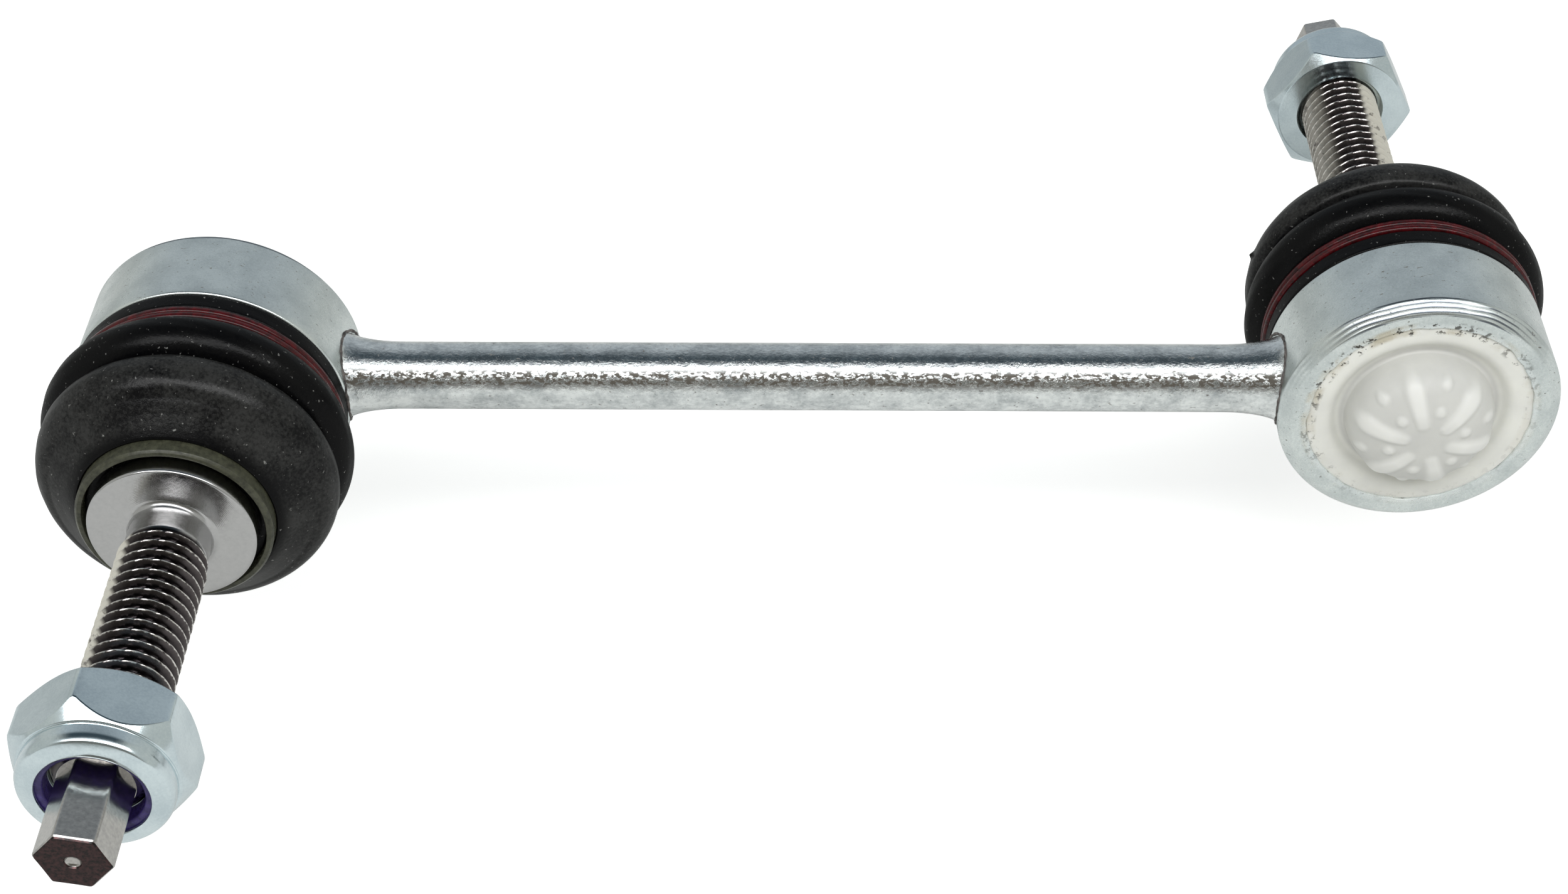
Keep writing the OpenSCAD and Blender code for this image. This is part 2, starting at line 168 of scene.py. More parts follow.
# Puts a grid of points into a mesh. Rows may close on each other; columns always do. Extra values are stored
# on the points for the materials, rows that meet in one point are merged, and the faces are turned outwards
def meshFromGrid(name, points, closedRows=False, sharpAngle=38, **values):
    rows, columns = points.shape[:2]
    row = np.arange(rows if closedRows else rows - 1)[:, None]
    column = np.arange(columns)[None, :]
    nextRow = (row + 1) % rows
    nextColumn = (column + 1) % columns
    quads = np.stack([row * columns + column, row * columns + nextColumn,
                      nextRow * columns + nextColumn, nextRow * columns + column], axis=-1).reshape(-1, 4)
    flat = points.reshape(-1, 3)
    a, b, c, d = (flat[quads[:, k]] - flat.mean(axis=0) for k in range(4))
    volume = (np.cross(a, b) * c).sum() + (np.cross(a, c) * d).sum()
    if volume < 0:
        quads = quads[:, ::-1]
    mesh = bpy.data.meshes.new(name)
    mesh.from_pydata(flat.tolist(), [], quads.tolist())
    for key, value in values.items():
        layer = mesh.attributes.new(key, "FLOAT", "POINT")
        layer.data.foreach_set("value", np.broadcast_to(value, (rows, columns)).astype(np.float32).ravel())
    work = bmesh.new()
    work.from_mesh(mesh)
    bmesh.ops.remove_doubles(work, verts=work.verts, dist=meshLimits["sameSpot"])
    bmesh.ops.dissolve_degenerate(work, edges=work.edges, dist=meshLimits["noLength"])
    work.to_mesh(mesh)
    work.free()
    mesh.shade_smooth()
    mesh.set_sharp_from_angle(angle=np.radians(sharpAngle))
    return mesh


# A profile carried round the stud: every row is one profile point, every column one angle
def turnedMesh(side, name, radius, out, angles, **options):
    grid = placeAtEnd(side, radius * np.cos(angles), radius * np.sin(angles), out)
    return meshFromGrid(side + name, grid, **options)


# A closed profile turned round the stud into a plain ring
def turnedRing(side, name, profile, columns):
    angles = anglesRound(columns)
    return turnedMesh(side, name, *repeatRound(profile, angles), angles, closedRows=True)


def addPiece(mesh, material, body=None, replaced=()):
    piece = bpy.data.objects.new(mesh.name, mesh)
    bpy.context.scene.collection.objects.link(piece)
    mesh.materials.append(material)
    if body:
        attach(piece, body)
    if replaced:
        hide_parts(*replaced)
    return piece


# Materials

# The node tree that is being built; every helper below adds to it
work = {"tree": None}


def link(source, socket):
    work["tree"].links.new(source, socket)


def wireUp(node, wires):
    for key, source in wires.items():
        link(source, node.inputs[key])


# Adds a node: settings are its own properties, values its sockets' numbers, wires the sockets that feed it
def addNode(kind, settings={}, values={}, wires={}):
    node = work["tree"].nodes.new(kind)
    for key, value in settings.items():
        setattr(node, key, value)
    for key, value in values.items():
        node.inputs[key].default_value = value
    wireUp(node, wires)
    return node


def startMaterial(name, values):
    material = bpy.data.materials.new(name)
    material.use_nodes = True
    work["tree"] = material.node_tree
    shader = work["tree"].nodes["Principled BSDF"]
    for key, value in values.items():
        shader.inputs[key].default_value = value
    return material, shader


# The X, Y and Z sockets of Object coordinates, in metres
def objectAxes():
    place = addNode("ShaderNodeTexCoord")
    return addNode("ShaderNodeSeparateXYZ", wires={"Vector": place.outputs["Object"]}).outputs


# Noise on Object coordinates, which are metres: a scale of 1000 gives grains about a millimetre across
def grain(scale, detail, roughness, stretch=(1, 1, 1)):
    place = addNode("ShaderNodeTexCoord")
    mapping = addNode("ShaderNodeMapping", values={"Scale": stretch},
                      wires={"Vector": place.outputs["Object"]})
    noise = addNode("ShaderNodeTexNoise",
                    values={"Scale": scale, "Detail": detail, "Roughness": roughness},
                    wires={"Vector": mapping.outputs[0]})
    return noise.outputs["Fac"]


# A number stands for the grey of that value
def asColour(value):
    return value if isinstance(value, tuple) else (value, value, value)


# Runs through colours or numbers, one at each position of a value
def ramp(source, positions, *values):
    node = addNode("ShaderNodeValToRGB", wires={"Fac": source})
    elements = node.color_ramp.elements
    while len(elements) < len(values):
        elements.new(0.5)
    for element, position, value in zip(elements, positions, values):
        element.position = position
        element.color = (*asColour(value), 1)
    return node.outputs["Color"]


def mixColour(share, first, second):
    node = addNode("ShaderNodeMix", {"data_type": "RGBA"}, wires={"Factor": share})
    for key, source in (("A", first), ("B", second)):
        if isinstance(source, bpy.types.NodeSocket):
            link(source, node.inputs[key])
        else:
            node.inputs[key].default_value = (*asColour(source), 1)
    return node.outputs["Result"]


def calc(how, first, second=0.0):
    node = addNode("ShaderNodeMath", {"operation": how})
    for socket, source in zip(node.inputs, (first, second)):
        if isinstance(source, bpy.types.NodeSocket):
            link(source, socket)
        else:
            socket.default_value = source
    return node.outputs[0]


def times(product, *factors):
    for factor in factors:
        product = calc("MULTIPLY", product, factor)
    return product


def average(first, second):
    return times(calc("ADD", first, second), 0.5)


def stored(key):
    return addNode("ShaderNodeAttribute", {"attribute_name": key}).outputs["Fac"]


# Runs smoothly from one end value to the other as a value crosses a span
def smoothStep(source, low, high, ends=(0, 1)):
    limits = {"From Min": low, "From Max": high, "To Min": ends[0], "To Max": ends[1]}
    node = addNode("ShaderNodeMapRange", {"interpolation_type": "SMOOTHSTEP"}, limits, {"Value": source})
    return node.outputs[0]


# 1 inside a band of a value, falling to 0 over an edge on both sides
def band(source, low, high, edge):
    rise = smoothStep(source, low - edge, low)
    fall = smoothStep(source, high, high + edge, (1, 0))
    return times(rise, fall)


def bump(shader, height, strength, distance=0.0002):
    node = addNode("ShaderNodeBump", values={"Strength": strength, "Distance": distance},
                   wires={"Height": height})
    link(node.outputs["Normal"], shader.inputs["Normal"])
    return node.outputs["Normal"]


# Noises are given as scale, detail and roughness, and spans as the noise values where a ramp starts and ends
zincLook = {
    "housing": {"light": (0.74, 0.79, 0.78), "dark": (0.55, 0.60, 0.60), "smooth": 0.24, "rough": 0.34,
                "grains": (4200, 5, 0.7), "clouds": (260, 3, 0.5), "stretch": (1, 1, 1), "relief": 0.07},
    "rod": {"light": (0.84, 0.87, 0.865), "dark": (0.44, 0.47, 0.48), "smooth": 0.08, "rough": 0.18,
            "grains": (2000, 5, 0.7), "clouds": (420, 3, 0.5), "stretch": (0.8, 1, 1), "relief": 0.36},
    "nut": {"light": (0.68, 0.77, 0.80), "dark": (0.54, 0.63, 0.67), "smooth": 0.13, "rough": 0.21,
            "grains": (3600, 5, 0.7), "clouds": (260, 3, 0.5), "stretch": (1, 1, 1), "relief": 0.03},
}
zincSpans = {"tone": (0.36, 0.60), "shine": (0.38, 0.62)}
frostLook = {"radii": (12.0, 13.2), "edge": 0.5, "dull": 0.8}


# Clear zinc plate: two tones mixed by fine grain and soft clouds, with a roughness and relief that follow the
# grain. Rod and housings have pits, which on the rod crowd into a painted dark reflection band along its
# front;
# the housings also have dirt, tool marks with painted shade lines on the top and a frosted rim. Pits and
# frost are less metallic than the plate
def zincMaterial(kind):
    look = settings(zincLook[kind])
    material, shader = startMaterial("zinc." + kind, {"Metallic": 1.0})
    fine = grain(*look.grains, look.stretch)
    both = average(fine, grain(*look.clouds, look.stretch))
    colour = ramp(both, zincSpans["tone"], look.dark, look.light)
    roughness = ramp(both, zincSpans["shine"], look.rough, look.smooth)
    relief = fine
    if kind != "nut":
        flecks = zincFlecks(darkReflectionBand=kind == "rod")
        colour = mixColour(flecks, colour, fleckLook["colour"])
        roughness = mixColour(flecks, roughness, fleckLook["rough"])
        dull = times(flecks, fleckLook["dull"])
        if kind == "housing":
            colour, roughness = rimDirt(colour, roughness)
            marks = chamferMarks()
            colour = mixColour(chamferShadeLines(marks), colour, chamferLook["line"])
            relief = calc("ADD", fine, times(marks, chamferLook["height"]))
            frost = band(stored("studRadius"), *frostLook["radii"], frostLook["edge"])
            dull = calc("MAXIMUM", dull, times(frost, frostLook["dull"]))
        wireUp(shader, {"Metallic": calc("SUBTRACT", 1.0, dull)})
    wireUp(shader, {"Base Color": colour, "Roughness": roughness})
    bump(shader, relief, look.relief)
    return material


# The fleck colour serves both the real pits and the rod's painted dark reflection band
fleckLook = {"colour": (0.09, 0.08, 0.065), "rough": 0.5, "dull": 0.7, "noise": (2500, 3, 0.6),
             "stretch": (0.6, 1, 1), "sparseSpan": (0.65, 0.70), "sparseShare": 0.8,
             "thickSpan": (0.47, 0.52), "stripAngles": (0.46, 0.71), "stripEdge": 0.24}


# Pits in the zinc: sparse dark flecks where a noise runs high. The rod has a strip along its front with many
# more, between two angles round it from the front to the top in radians: a painted dark reflection band just
# below the lamp's highlight
def zincFlecks(darkReflectionBand):
    look = settings(fleckLook)
    noise = grain(*look.noise, look.stretch)
    sparse = ramp(noise, look.sparseSpan, 0.0, look.sparseShare)
    if not darkReflectionBand:
        return sparse
    axes = objectAxes()
    angle = calc("ARCTAN2", axes["Z"], times(axes["Y"], -1))
    onDarkReflectionBand = band(angle, *look.stripAngles, look.stripEdge)
    return mixColour(onDarkReflectionBand, sparse, ramp(noise, look.thickSpan, 0.0, 1.0))


# The line colour is painted shade, laid only on the chamfer's top where the lamp's highlight falls
chamferLook = {"halfWaves": 2.6, "wander": 5.0, "wanderNoise": (90, 2, 0.5), "below": 0.22, "above": 0.12,
               "edge": 0.2, "strengthNoise": (140, 3, 0.6), "strengthSpan": (0.36, 0.56), "faintest": 0.25,
               "height": 5.0, "line": (0.10, 0.115, 0.14), "lineSpan": (0.10, 0.45), "lineShare": 0.9,
               "lineHeights": (0.0095, 0.0135)}


# Tool marks round the chamfer at the cap: a sine of the way across the chamfer, whose phase wanders and whose
# height comes and goes with two soft noises
def chamferMarks():
    look = settings(chamferLook)
    radius = stored("studRadius")
    out = stored("studOut")
    slant = housingSpan["radius"] - housing["chamfer"] - housingSpan["low"]
    onChamfer = band(calc("SUBTRACT", radius, out), slant - look.below, slant + look.above,
                     look.edge)
    across = times(calc("ADD", radius, out), look.halfWaves * np.pi)
    wander = times(grain(*look.wanderNoise), look.wander * np.pi)
    wave = calc("SINE", calc("ADD", across, wander))
    strength = ramp(grain(*look.strengthNoise), look.strengthSpan, look.faintest, 1.0)
    return times(wave, strength, onChamfer)


# Painted shade: dark lines where the tool marks stand high, on the housing's top only, where they break up
# the lamp's highlight: they come in between two heights
def chamferShadeLines(marks):
    look = settings(chamferLook)
    onLitTop = smoothStep(objectAxes()["Z"], *look.lineHeights)
    return times(ramp(marks, look.lineSpan, 0.0, look.lineShare), onLitTop)


rimDirtLook = {"radii": (12.3, 13.4), "radiusEdge": 0.6, "depths": (-0.5, 0.6), "depthEdge": 0.3,
               "flecks": (1100, 4, 0.65), "fleckSpan": (0.55, 0.60), "fleck": (0.05, 0.045, 0.035),
               "fleckRough": 0.8, "stains": (260, 4, 0.6), "stainSpan": (0.47, 0.62), "stainShare": 0.75,
               "stain": (0.45, 0.40, 0.28)}


# Dirt along the seam between rim and cap, thickest on the upper left: fine dark flecks and ochre stains where
# two noises run high near that radius
def rimDirt(colour, roughness):
    look = settings(rimDirtLook)
    front, back = (housingSpan["low"] + depth for depth in look.depths)
    near = band(stored("studRadius"), *look.radii, look.radiusEdge)
    atFace = band(stored("studOut"), front, back, look.depthEdge)
    seam = times(near, atFace, stored("grime"))
    flecks = times(ramp(grain(*look.flecks), look.fleckSpan, 0.0, 1.0), seam)
    stains = ramp(grain(*look.stains), look.stainSpan, 0.0, look.stainShare)
    colour = mixColour(times(stains, seam), colour, look.stain)
    colour = mixColour(flecks, colour, look.fleck)
    return colour, mixColour(flecks, roughness, look.fleckRough)


grimeLook = {"least": 0.1, "peakAngle": -115, "narrowing": 1.5}


# How dirty each angle is: a wave round the stud, narrowed by a power, highest at the right cap's upper left
def grimeRound(angles):
    wave = 0.5 + 0.5 * np.cos(angles - np.radians(grimeLook["peakAngle"]))
    return grimeLook["least"] + (1 - grimeLook["least"]) * wave ** grimeLook["narrowing"]


# The root and flank tones are painted shade in the thread's hollows and on its flanks; the pale side tones
# paint a reflection of the floor along one side
studLook = {"bright": (0.52, 0.515, 0.515), "brightDark": 0.42, "grains": (2200, 4, 0.6), "smooth": 0.15,
            "rough": 0.24, "shineSpan": (0.3, 0.7), "relief": 0.08, "reliefDepth": 0.0001,
            "root": (0.035, 0.03, 0.032), "flank": (0.10, 0.088, 0.088), "crest": (0.74, 0.72, 0.69),
            "threadHeights": (0.25, 0.90, 1.0), "smear": 0.45, "threadEdge": 0.4,
            "wash": (0.62, 0.60, 0.53), "washDark": (0.44, 0.41, 0.36), "washHeights": (0.15, 0.60),
            "washDull": 0.7, "patches": (500, 4, 0.65), "patchSpan": (0.30, 0.42),
            "tip": (0.54, 0.525, 0.50), "tipDark": (0.38, 0.37, 0.36), "tipSpan": (0.3, 0.7), "tipEdge": 0.2,
            "tipRough": 0.17, "tipEnd": (0.062, 0.036, 0.036), "tipEndDark": 0.02, "tipEndSpan": (0.35, 0.6),
            "tipEndDepths": (0.16, 0.14), "rings": 5.0, "ringHeight": 0.15, "ringPast": 0.2, "ringEdge": 0.3}


# Machined steel: bright satin flange with turned rings; thread roots and flanks painted dark as shade under
# bright crests, pale patches of painted floor reflection along one side, and a duller tip with a dark end
def studMaterial():
    look = settings(studLook)
    material, shader = startMaterial("studSteel", {"Metallic": 1.0})
    fine = grain(*look.grains)
    out = stored("studOut")
    tipFrom = stud["threadEnd"] - look.tipEdge
    onThread = band(out, stud["threadFrom"] + look.threadEdge, tipFrom, look.threadEdge)
    onTip = smoothStep(out, tipFrom, stud["threadEnd"])
    atEnd = smoothStep(out, *(studSpan["high"] - depth for depth in look.tipEndDepths))
    smear = times(calc("SUBTRACT", fine, 0.5), look.smear)
    height = calc("ADD", stored("threadHeight"), smear)
    thread = ramp(height, look.threadHeights, look.root, look.flank, look.crest)
    reflectedThread = ramp(height, look.washHeights, look.washDark, look.wash)
    patches = ramp(grain(*look.patches), look.patchSpan, 0.0, 1.0)
    wash = times(stored("sideWash"), patches)
    thread = mixColour(wash, thread, reflectedThread)
    tip = ramp(fine, look.tipSpan, look.tipDark, look.tip)
    tipEnd = ramp(fine, look.tipEndSpan, look.tipEndDark, look.tipEnd)
    colour = mixColour(fine, look.bright, look.brightDark)
    for share, layer in ((onThread, thread), (onTip, tip), (atEnd, tipEnd)):
        colour = mixColour(share, colour, layer)
    roughness = ramp(fine, look.shineSpan, look.smooth, look.rough)
    roughness = mixColour(onTip, roughness, look.tipRough)
    dull = times(wash, onThread, look.washDull)
    wireUp(shader, {"Base Color": colour, "Roughness": roughness,
                          "Metallic": calc("SUBTRACT", 1.0, dull)})
    rings = calc("SINE", times(stored("studRadius"), look.rings * 2 * np.pi))
    flangeOnly = band(out, studSpan["low"], stud["flangeOut"] + look.ringPast, look.ringEdge)
    relief = calc("ADD", times(rings, times(flangeOnly, look.ringHeight)), fine)
    bump(shader, relief, look.relief, look.reliefDepth)
    return material


rubberLook = {"black": (0.0015, 0.0015, 0.002), "worn": (0.0035, 0.0035, 0.0035), "wornSpan": (0.36, 0.62),
              "clouds": (150, 4, 0.6), "pores": (2600, 4, 0.7), "relief": 0.20, "rough": (0.35, 0.55),
              "roughSpan": (0.35, 0.65), "dusty": (0.030, 0.030, 0.029), "dustySpan": (0.43, 0.60),
              "leastDusty": 0.05, "secondFrom": 0.6, "secondEdge": 1.2, "speck": (0.22, 0.22, 0.21),
              "specks": (2300, 3, 0.5), "speckSpan": (0.68, 0.74), "speckShare": 0.8, "wear": (420, 4, 0.7),
              "wearSpan": (0.38, 0.62), "gloss": (0.09, 0.20), "coat": (0.14, 0.26)}


# Moulded rubber: black, with a dusty bloom in clouds and more shine on the second bulge, fine pores that make
# the shine sparkle, and scattered pale specks
def rubberMaterial():
    look = settings(rubberLook)
    material, shader = startMaterial("rubberBoot", {"Specular IOR Level": 0.03})
    pores = grain(*look.pores)
    bloom = average(grain(*look.clouds), pores)
    onSecond = band(stored("studOut"), boot["edgeOut"] + look.secondFrom, boot["ringGroove"],
                    look.secondEdge)
    colour = ramp(bloom, look.wornSpan, look.black, look.worn)
    dusty = times(ramp(bloom, look.dustySpan, look.leastDusty, 1.0), onSecond)
    colour = mixColour(dusty, colour, look.dusty)
    specks = ramp(grain(*look.specks), look.speckSpan, 0.0, look.speckShare)
    colour = mixColour(specks, colour, look.speck)
    gloss = ramp(grain(*look.wear), look.wearSpan, *look.gloss)
    wireUp(shader, {"Base Color": colour, "Coat Roughness": gloss,
                          "Roughness": ramp(bloom, look.roughSpan, *look.rough),
                          "Coat Weight": ramp(onSecond, (0.0, 1.0), *look.coat),
                          "Coat Normal": bump(shader, pores, look.relief)})
    return material


ringLook = {
    "clamp": {"light": (0.085, 0.004, 0.006), "dark": (0.012, 0.001, 0.0015), "smooth": 0.16, "rough": 0.32},
    "neck": {"light": (0.070, 0.072, 0.047), "dark": (0.028, 0.029, 0.019), "smooth": 0.24, "rough": 0.40},
    "seat": {"light": (0.80, 0.79, 0.74), "dark": (0.70, 0.69, 0.64), "smooth": 0.35, "rough": 0.5},
    "nylon": {"light": (0.050, 0.032, 0.170), "dark": (0.016, 0.010, 0.07), "smooth": 0.22, "rough": 0.40},
    "weld": {"light": (0.16, 0.14, 0.13), "dark": (0.03, 0.028, 0.028), "smooth": 0.45, "rough": 0.7},
}
ringGrain = {"noise": (1300, 5, 0.65), "toneSpan": (0.34, 0.66), "shineSpan": (0.35, 0.65), "relief": 0.12}


# Plain coloured plastic, paint or scale: two tones of one colour mixed by fine grain
def ringMaterial(kind):
    look = settings(ringLook[kind])
    material, shader = startMaterial(kind + "Ring", {"Specular IOR Level": 0.3})
    fine = grain(*ringGrain["noise"])
    wireUp(shader, {"Base Color": ramp(fine, ringGrain["toneSpan"], look.dark, look.light),
                          "Roughness": ramp(fine, ringGrain["shineSpan"], look.rough, look.smooth)})
    bump(shader, fine, ringGrain["relief"])
    return material


# The petal colour is a painted highlight on the raised petals
capLook = {"ring": (0.80, 0.80, 0.75), "ringShade": (0.735, 0.735, 0.695), "ringEdge": 0.6,
           "dome": (0.61, 0.61, 0.58), "domeShade": (0.56, 0.56, 0.535), "petal": (0.75, 0.75, 0.72),
           "clouds": (160, 4, 0.6), "toneSpan": (0.35, 0.62), "shineSpan": (0.3, 0.7), "rough": 0.48,
           "smooth": 0.36, "grains": (900, 4, 0.6), "relief": 0.06}


# Ivory moulded plastic with a little light passing under its skin; the raised petals are painted whiter as a
# painted highlight
def capMaterial():
    look = settings(capLook)
    material, shader = startMaterial("capPlastic", {"Specular IOR Level": 0.4, "Subsurface Weight": 0.15,
                                                    "Subsurface Radius": (0.001, 0.001, 0.0008),
                                                    "Subsurface Scale": 1.0})
    clouds = grain(*look.clouds)
    dome = ramp(clouds, look.toneSpan, look.domeShade, look.dome)
    ring = ramp(clouds, look.toneSpan, look.ringShade, look.ring)
    onRing = smoothStep(stored("studRadius"), cap["grooveRadius"] - look.ringEdge,
                        cap["grooveRadius"])
    colour = mixColour(onRing, dome, ring)
    colour = mixColour(stored("petalHeight"), colour, look.petal)
    roughness = ramp(clouds, look.shineSpan, look.rough, look.smooth)
    colour, roughness = rimDirt(colour, roughness)
    wireUp(shader, {"Base Color": colour, "Roughness": roughness})
    bump(shader, grain(*look.grains), look.relief)
    return material


ballLook = {"light": (0.78, 0.78, 0.79), "dark": (0.66, 0.66, 0.68), "smooth": 0.10, "rough": 0.18,
            "grains": (1800, 4, 0.6), "span": (0.3, 0.7)}


# Ground and polished steel with a faint grain
def ballMaterial():
    look = settings(ballLook)
    material, shader = startMaterial("ballSteel", {"Metallic": 1.0})
    fine = grain(*look.grains)
    wireUp(shader, {"Base Color": ramp(fine, look.span, look.dark, look.light),
                          "Roughness": ramp(fine, look.span, look.smooth, look.rough)})
    return material


# Housing
housing = {"columns": 192, "longestStep": 1.2, "chamfer": 1.2, "chamferIn": 1.32, "chamferRound": 0.5,
           "shoulderOut": 5.2, "shoulderRound": 0.32, "neckRadius": 13.4, "neckRound": 0.4, "mouthTop": 8.94,
           "inside": ((7.92, 8.77, 0), (11.4, 8.77, 0), (11.4, -4.65, 0), (13.95, -4.65, 0)),
           "capRadius": 13.95, "rimInner": 12.9, "rimDepth": 0.8, "rimRound": 0.16, "rimWidth": 0.5,
           "rimReach": 1.0, "rimWave": 0.09, "rimWaves": (5, 8, 13, 21, 34), "faceWave": 0.045,
           "faceWaves": (4, 9, 14, 27), "seeds": (3, 8)}


# A closed profile turned round the stud: rolled rim, chamfer, wall, shoulder, neck and mouth. Near the rim
# radius and face are made uneven by a sum of sines round the circle, as a rolled edge is
def buildHousing(side):
    its = settings(housing)
    front, back, wall = housingSpan["low"], housingSpan["high"], housingSpan["radius"]
    rimBack = front + its.rimDepth
    corners = [(its.rimInner, front, its.rimRound), (wall - its.chamferIn, front, its.chamferRound),
               (wall, front + its.chamfer, its.chamferRound), (wall, its.shoulderOut, its.shoulderRound),
               (its.neckRadius, its.shoulderOut, 0), (its.neckRadius, back, its.neckRound),
               (its.mouthTop, back, 0), *its.inside, (its.capRadius, rimBack, 0),
               (its.rimInner, rimBack, its.rimRound)]
    angles = anglesRound(its.columns)
    radius, out = repeatRound(spreadProfile(roundedProfile(corners), its.longestStep), angles)
    atRim = np.exp(-((radius - its.rimInner) / its.rimWidth) ** 2) * (out < front + its.rimReach)
    rimSeed, faceSeed = (seed + facingOf[side] for seed in its.seeds)
    radius = radius + atRim * its.rimWave * unevenRound(angles, its.rimWaves, rimSeed)
    out = out + atRim * its.faceWave * unevenRound(angles, its.faceWaves, faceSeed)
    mesh = turnedMesh(side, "Housing", radius, out, angles, closedRows=True, studRadius=radius, studOut=out,
                      grime=grimeRound(angles))
    return addPiece(mesh, housingZinc, "link", [side + "_housing"])


# Cap
cap = {"columns": 240, "longestStep": 0.5, "back": -4.65, "flangeFace": -5.95, "ringOuter": 13.02,
       "ringFace": -6.55, "ringRound": 0.2, "slopeWidth": 1.0, "slopeRound": 1.6, "grooveRadius": 9.5,
       "grooveWidth": 1.0, "grooveDepth": 1.1, "grooveRound": 1.0, "footRound": 0.35, "footHeight": 0.55,
       "domeFullness": 2.6, "domeRows": 70, "domeFrom": 0.12, "domeCrowding": 1.2, "reliefFrom": 1.0,
       "ribs": 6, "ribTurn": 12, "ribFrom": 2.8, "ribTo": 6.8, "ribHalf": 0.50, "ribSpread": 0.09,
       "ribHeight": 0.40, "ribLow": 0.35, "ribRise": (1.8, 4.3), "dotsAt": (4.4, 7.3), "dotHalf": 0.62,
       "dotHeight": 0.6, "steepness": 4}


# Height of the six ribs and two rings of dots on the dome, 0 to 1: a steep bell of the distance to the rib's
# middle line or to the dot. A rib widens outwards and starts low near the dome's middle
def capRelief(radius, angles):
    its = settings(cap)
    step = 2 * np.pi / its.ribs
    turned = angles - np.radians(its.ribTurn)
    fromRib = radius * np.sin((turned + step / 2) % step - step / 2)
    fromDot = radius * np.sin(turned % step - step / 2)
    pastEnd = np.maximum(np.maximum(its.ribFrom - radius, radius - its.ribTo), 0)
    ribHalf = its.ribHalf + its.ribSpread * radius
    riseFrom, riseTo = its.ribRise
    rise = its.ribLow + (1 - its.ribLow) * np.clip((radius - riseFrom) / (riseTo - riseFrom), 0, 1)
    relief = rise * np.exp(-(np.hypot(fromRib, pastEnd) / ribHalf) ** its.steepness)
    for dotAt in its.dotsAt:
        toDot = np.hypot(fromDot, radius - dotAt) / its.dotHalf
        relief = np.maximum(relief, its.dotHeight * np.exp(-toDot ** its.steepness))
    return relief


# A plate turned round the stud: ring, soft groove and a full dome, on which radius and height, each over its
# largest value and raised to the fullness, add up to 1. Ribs and dots stand on the dome along its normal
def buildCap(side):
    its = settings(cap)
    flange = capSpan["radius"]
    groove = its.grooveRadius
    grooveFace = its.ringFace + its.grooveDepth
    foot = groove - its.grooveWidth
    domeHeight = grooveFace - capSpan["low"]
    rim = roundedProfile([(0, its.back, 0), (flange, its.back, 0), (flange, its.flangeFace, 0),
                          (its.ringOuter, its.flangeFace, 0), (its.ringOuter, its.ringFace, its.ringRound),
                          (groove + its.slopeWidth, its.ringFace, its.slopeRound),
                          (groove, grooveFace, its.grooveRound), (foot, grooveFace, its.footRound),
                          (foot, grooveFace - its.footHeight, 0)], closed=False)
    turn = np.linspace(its.domeFrom, 1, its.domeRows) ** its.domeCrowding * np.pi / 2
    power = 2 / its.domeFullness
    dome = np.stack([foot * np.cos(turn) ** power, grooveFace - domeHeight * np.sin(turn) ** power], axis=-1)
    profile = np.concatenate([spreadProfile(rim, its.longestStep, closed=False), dome])
    angles = anglesRound(its.columns)
    radius, out = repeatRound(profile, angles)
    relief = capRelief(radius, angles) * (out < grooveFace - its.reliefFrom)
    along = np.gradient(profile, axis=0)
    along /= np.linalg.norm(along, axis=1, keepdims=True) + tiny
    radius = radius - along[:, 1:] * its.ribHeight * relief * (radius > 0)
    out = out + along[:, :1] * its.ribHeight * relief
    mesh = turnedMesh(side, "Cap", radius, out, angles, studRadius=radius, studOut=out, petalHeight=relief,
                      grime=grimeRound(angles))
    return addPiece(mesh, capIvory, "link", [side + "_cap"])


# Rod and weld seams
rod = {"columns": 96, "radius": 4.0, "flare": 1.6, "flareLength": 7.0, "flareRows": 26, "middleRows": 60,
       "faceRings": (0.7, 0.35, 0), "endEdge": 0.01, "bite": 0.15}


# The rod ends on the housing's round wall: at height z its end stands off the stud's axis by the third side
# of the triangle of wall radius and z
def wallReach(z):
    return np.sqrt(housingSpan["radius"] ** 2 - z ** 2)


# A bar round the X axis: the radius is plain in the middle and swells to trumpet ends as a quarter ellipse
# does, and each end's rows are carried on a little way into the housing's wall
def buildRod():
    its = settings(rod)
    angles = anglesRound(its.columns)
    endRadius = its.radius + its.flare
    flareEnd = halfCentre - wallReach(endRadius)
    share = np.sin(np.linspace(0, 1, its.flareRows) * np.pi / 2)
    flareRadius = its.radius + its.flare * (1 - np.sqrt(np.clip(1 - share ** 2, 0, 1)))
    flareX = flareEnd - its.flareLength + its.flareLength * share
    middleX = np.linspace(0, flareX[0], its.middleRows)[:-1]
    middleRadius = np.full(len(middleX), its.radius)
    faceRadius = endRadius * np.array(its.faceRings)
    halfX = np.concatenate([middleX, flareX, np.full(len(faceRadius), flareEnd)])
    halfRadius = np.concatenate([middleRadius, flareRadius, faceRadius])
    x = np.concatenate([-halfX[:0:-1], halfX])[:, None] + 0 * angles
    radius = np.concatenate([halfRadius[:0:-1], halfRadius])[:, None] + 0 * angles
    y = radius * np.cos(angles)
    z = radius * np.sin(angles)
    limit = halfCentre - wallReach(z) + its.bite
    onEnd = np.abs(x) > flareEnd - its.endEdge
    x = np.where(onEnd, np.sign(x) * limit, np.clip(x, -limit, limit))
    mesh = meshFromGrid("rodBar", np.stack([x, y, z], axis=-1) * mm)
    return addPiece(mesh, rodZinc, "link", ["rod"])


weld = {"columns": 144, "rows": 10, "radius": 0.17, "flareShare": 0.80, "wander": 0.05,
        "wanderWaves": (7, 12, 19), "swell": 0.25, "swellWaves": (11, 23, 31), "seeds": (5, 9)}


